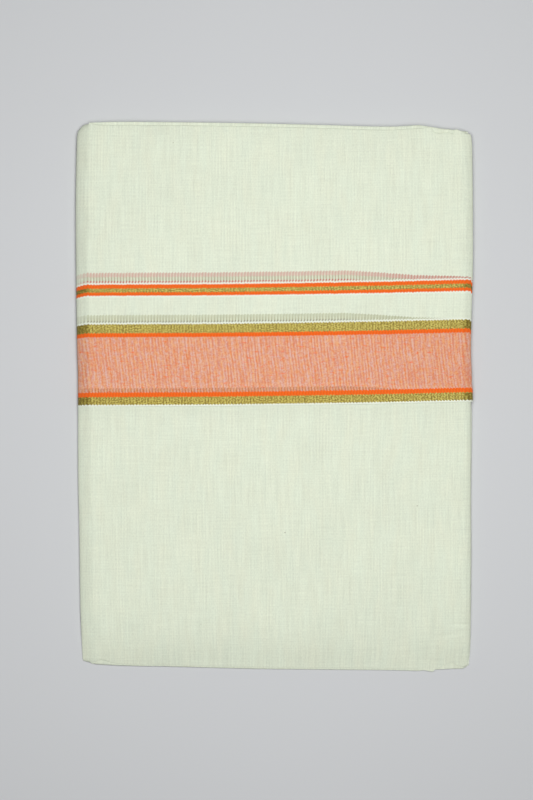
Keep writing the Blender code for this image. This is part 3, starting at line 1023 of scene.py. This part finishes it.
# %% The border's plan on the cloth
def border_edge(dye, across, up):
    """How far in the plan is read: up, with teeth, wander and a dip where the cloth turns."""
    teeth = dye.maths("MULTIPLY", dye.wave(across, TEETH_PITCH), TOOTH_LENGTH)
    wander = dye.about_zero(dye.noise(across, up, LINE_WANDER))
    edge = dye.maths("ADD", dye.add(teeth, wander, WANDER_REACH), up)
    at_spine = dye.stretch(across, DIP_AT_SPINE, "SMOOTHSTEP")
    at_roll = dye.stretch(across, DIP_AT_ROLL, "SMOOTHSTEP")
    further_in = dye.stretch(up, DIP_FURTHER_IN)
    dip = dye.maths("MULTIPLY", dye.maths("ADD", at_spine, at_roll), further_in)
    return dye.maths("ADD", edge, dip)


def border_masks(dye, distance):
    """Where zari, orange, salmon and white yarn lie, each as a share."""
    rows = [(band.start / PLAN_REACH, YARN_MASKS[band.yarn]) for band in BORDER]
    ramp = dye.ramp(dye.maths("DIVIDE", distance, PLAN_REACH), rows, "CONSTANT")
    split = dye.tree.nodes.new("ShaderNodeSeparateColor")
    dye.put(split.inputs[0], ramp[0])
    return split.outputs[0], split.outputs[1], split.outputs[2], ramp[1]


def ghost_tint(dye, across, up):
    """The tint of the second leaf's border, seen through the first a little further in."""
    grey = [(row.place / PLAN_REACH, (row.value / GHOST_SCALE,) * 3 + (1,)) for row in GHOST_OFFSETS]
    offset = dye.ramp(dye.maths("DIVIDE", across, PLAN_REACH), grey, "LINEAR")[0]
    slack = dye.maths("MAXIMUM", dye.maths("SUBTRACT", up, GHOST_SLACK_START), 0.0)
    distance = dye.add(up, offset, -GHOST_SCALE)
    distance = dye.add(distance, slack, -GHOST_SLACK)
    rows = [(ghost.start / PLAN_REACH, (*ghost.tint, ghost.teeth)) for ghost in GHOSTS]
    ramp = dye.ramp(dye.maths("DIVIDE", distance, PLAN_REACH), rows, "CONSTANT")
    drift = dye.add(across, dye.noise(across, up, GHOST_DRIFT), 1.5)
    uneven = dye.noise(across, up, GHOST_UNEVEN)
    tooth = dye.stretch(dye.wave(drift, TEETH_PITCH), GHOST_TOOTH)
    gap = dye.maths("MULTIPLY", dye.maths("SUBTRACT", 1.0, tooth), ramp[1])
    gap = dye.maths("MULTIPLY", gap, dye.stretch(uneven, GHOST_GAPS))
    inside = dye.maths("GREATER_THAN", distance, 0.0)
    held = dye.maths("MULTIPLY", dye.maths("SUBTRACT", 1.0, gap), inside)
    held = dye.maths("MULTIPLY", held, dye.stretch(across, GHOST_AT_SPINE))
    near_roll = dye.stretch(across, GHOST_AT_ROLL)
    tint = dye.blend(near_roll, ramp[0], ramp[0], "MULTIPLY")
    return dye.blend(held, (1, 1, 1, 1), tint)


# %% The yarns
def salmon_yarn(dye, across, up, ghost):
    """Orange warp under off-white weft: leaning streaks, pale picks and a few orange floats."""
    lean = dye.add(across, up, WEFT_LEAN)
    drift = dye.add(lean, dye.noise(across, up, SALMON_DRIFT), MOIRE_DRIFT)
    hue = dye.maths("MULTIPLY", dye.wave(drift, MOIRE_PITCH), 0.26)
    hue = dye.add(hue, dye.about_zero(dye.noise(lean, up, HUE_STREAKS)), 2.0)
    hue = dye.add(hue, dye.about_zero(dye.noise(across, up, HUE_CLOUDS)), 0.5)
    patches = dye.stretch(dye.noise(across, up, COLUMN_PATCHES), SALMON_COLUMNS)
    columns = dye.maths("MULTIPLY", dye.wave(lean, TEETH_PITCH), 0.36)
    value = dye.maths("MULTIPLY", columns, patches)
    value = dye.add(value, dye.about_zero(dye.noise(lean, up, WEFT_FLECKS)), 1.3)
    value = dye.add(value, dye.about_zero(dye.noise(across, up, SALMON_GRAIN)), 1.5)
    yarn = dye.blend(dye.stretch(value, SALMON_SHADES), DEEP_SALMON, PALE_SALMON)
    shift = dye.blend(dye.stretch(hue, SALMON_HUES), ORANGE_SHIFT, LILAC_SHIFT)
    yarn = dye.blend(1.0, yarn, shift, "MULTIPLY")
    picks = dye.stretch(dye.noise(across, up, PALE_PICKS), PICK_SPAN)
    yarn = dye.blend(picks, yarn, PEACH)
    floats = dye.stretch(dye.noise(across, up, ORANGE_FLOATS), FLOAT_SPAN)
    yarn = dye.blend(floats, yarn, ORANGE)
    return dye.blend(0.8, yarn, dye.blend(1.0, yarn, ghost, "MULTIPLY"))


def orange_yarn(dye, across):
    """Solid orange, with faint ribs at the pitch of the teeth."""
    rib = dye.stretch(dye.wave(across, TEETH_PITCH, 1.0), ORANGE_RIBS)
    return dye.blend(rib, ORANGE, DEEP_ORANGE)


def zari_glint(dye, across, up):
    """How brightly each stitch of gilt thread glints. Painted shade dulls it where the cloth turns
    away, for the dark reflection the gold gives there.
    """
    glint = dye.add(-0.325, dye.noise(across, up, ZARI_GRAIN), 1.65)
    glint = dye.add(glint, dye.about_zero(dye.noise(across, up, ZARI_COLUMNS)), 0.3)
    glint = dye.add(glint, dye.wave(across, TEETH_PITCH, 2.0), 0.14)
    bricks = dye.maths("MULTIPLY", dye.wave(across, TEETH_PITCH), dye.wave(up, BRICK_PITCH))
    glint = dye.add(glint, bricks, 0.08)
    # Painted shade where the cloth turns at the roll and at the spine.
    painted_shade = dye.maths("MAXIMUM", dye.stretch(across, PAINTED_SHADE_AT_ROLL), dye.stretch(across, PAINTED_SHADE_AT_SPINE))
    return dye.maths("SUBTRACT", glint, dye.maths("MULTIPLY", painted_shade, 0.35))


def zari_yarn(dye, glint):
    dull = dye.stretch(glint, DULL_GLINT)
    bright = dye.stretch(glint, BRIGHT_GLINT)
    return dye.blend(bright, dye.blend(dull, GOLD, DARK_GOLD), PALE_GOLD)


# %% The two cottons
def bordered_cotton(name):
    dye = Dye(name)
    across, up = cloth_place(dye)
    ground, threads = cotton_ground(dye, across, up)
    edge = border_edge(dye, across, up)
    zari, orange, salmon, white = border_masks(dye, edge)
    ghost = ghost_tint(dye, across, edge)
    glint = zari_glint(dye, across, up)
    colour = dye.blend(1.0, ground, ghost, "MULTIPLY")
    colour = dye.blend(salmon, colour, salmon_yarn(dye, across, up, ghost))
    colour = dye.blend(orange, colour, orange_yarn(dye, across))
    colour = dye.blend(zari, colour, zari_yarn(dye, glint))
    colour = dye.blend(dye.maths("MULTIPLY", white, WHITE_SHARE), colour, WHITE)
    threads = dye.add(threads, dye.maths("MULTIPLY", glint, zari), RAISED_GLINT)
    raised = dye.maths("ADD", dye.maths("ADD", zari, orange), white)
    threads = dye.add(threads, raised, RAISED_YARN)
    metal = dye.maths("MULTIPLY", zari, ZARI_METAL)
    roughness = dye.add(COTTON_ROUGHNESS, zari, ZARI_ROUGHNESS)
    return finish_cloth(dye, colour, threads, roughness, metal)


def plain_cotton(name):
    dye = Dye(name)
    across, up = cloth_place(dye)
    colour, threads = cotton_ground(dye, across, up)
    return finish_cloth(dye, colour, threads, COTTON_ROUGHNESS, 0.0)


# %% Dress the pieces
bordered = bordered_cotton("bordered_cotton")
plain = plain_cotton("plain_cotton")
layered = bordered_cotton("layered_cotton")
flap.data.materials.append(bordered)
body.data.materials.append(plain)
long_run.data.materials.append(layered)
short_run.data.materials.append(layered)
for cotton in (bordered, plain, layered):
    print(cotton.name, "nodes:", len(cotton.node_tree.nodes))

# %% Floor finish
PAPER_GREY = (0.60, 0.61, 0.62, 1)
PALE_PAPER_GREY = (0.62, 0.63, 0.64, 1)
PAPER_ROUGHNESS = 0.95

paper = Dye("floor_paper")
paper_place = paper.node("TexCoord", {}, "Object")
clouding = paper.node("TexNoise", {"Vector": paper_place, "Scale": 3.0, "Detail": 3.0})
paper.put(paper.finish.inputs["Base Color"], paper.blend(clouding, PAPER_GREY, PALE_PAPER_GREY))
paper.put(paper.finish.inputs["Roughness"], PAPER_ROUGHNESS)
floor.data.materials.append(paper.material)

# %% [markdown]
# ## Fitting the cloth to the imported model
# Each piece of cloth rides on the imported body and takes the place of the solid that it dresses. The
# packet lies on its underside.

# %% Ride and replace
for piece, slot, node in (
    (flap, "bordered_cotton", "border_flap"),
    (body, "plain_cotton", "body_wrap"),
    (long_run, "layered_cotton", "folded_layers"),
    (short_run, "layered_cotton", "folded_layers"),
):
    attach(piece, "root")
    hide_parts(node)
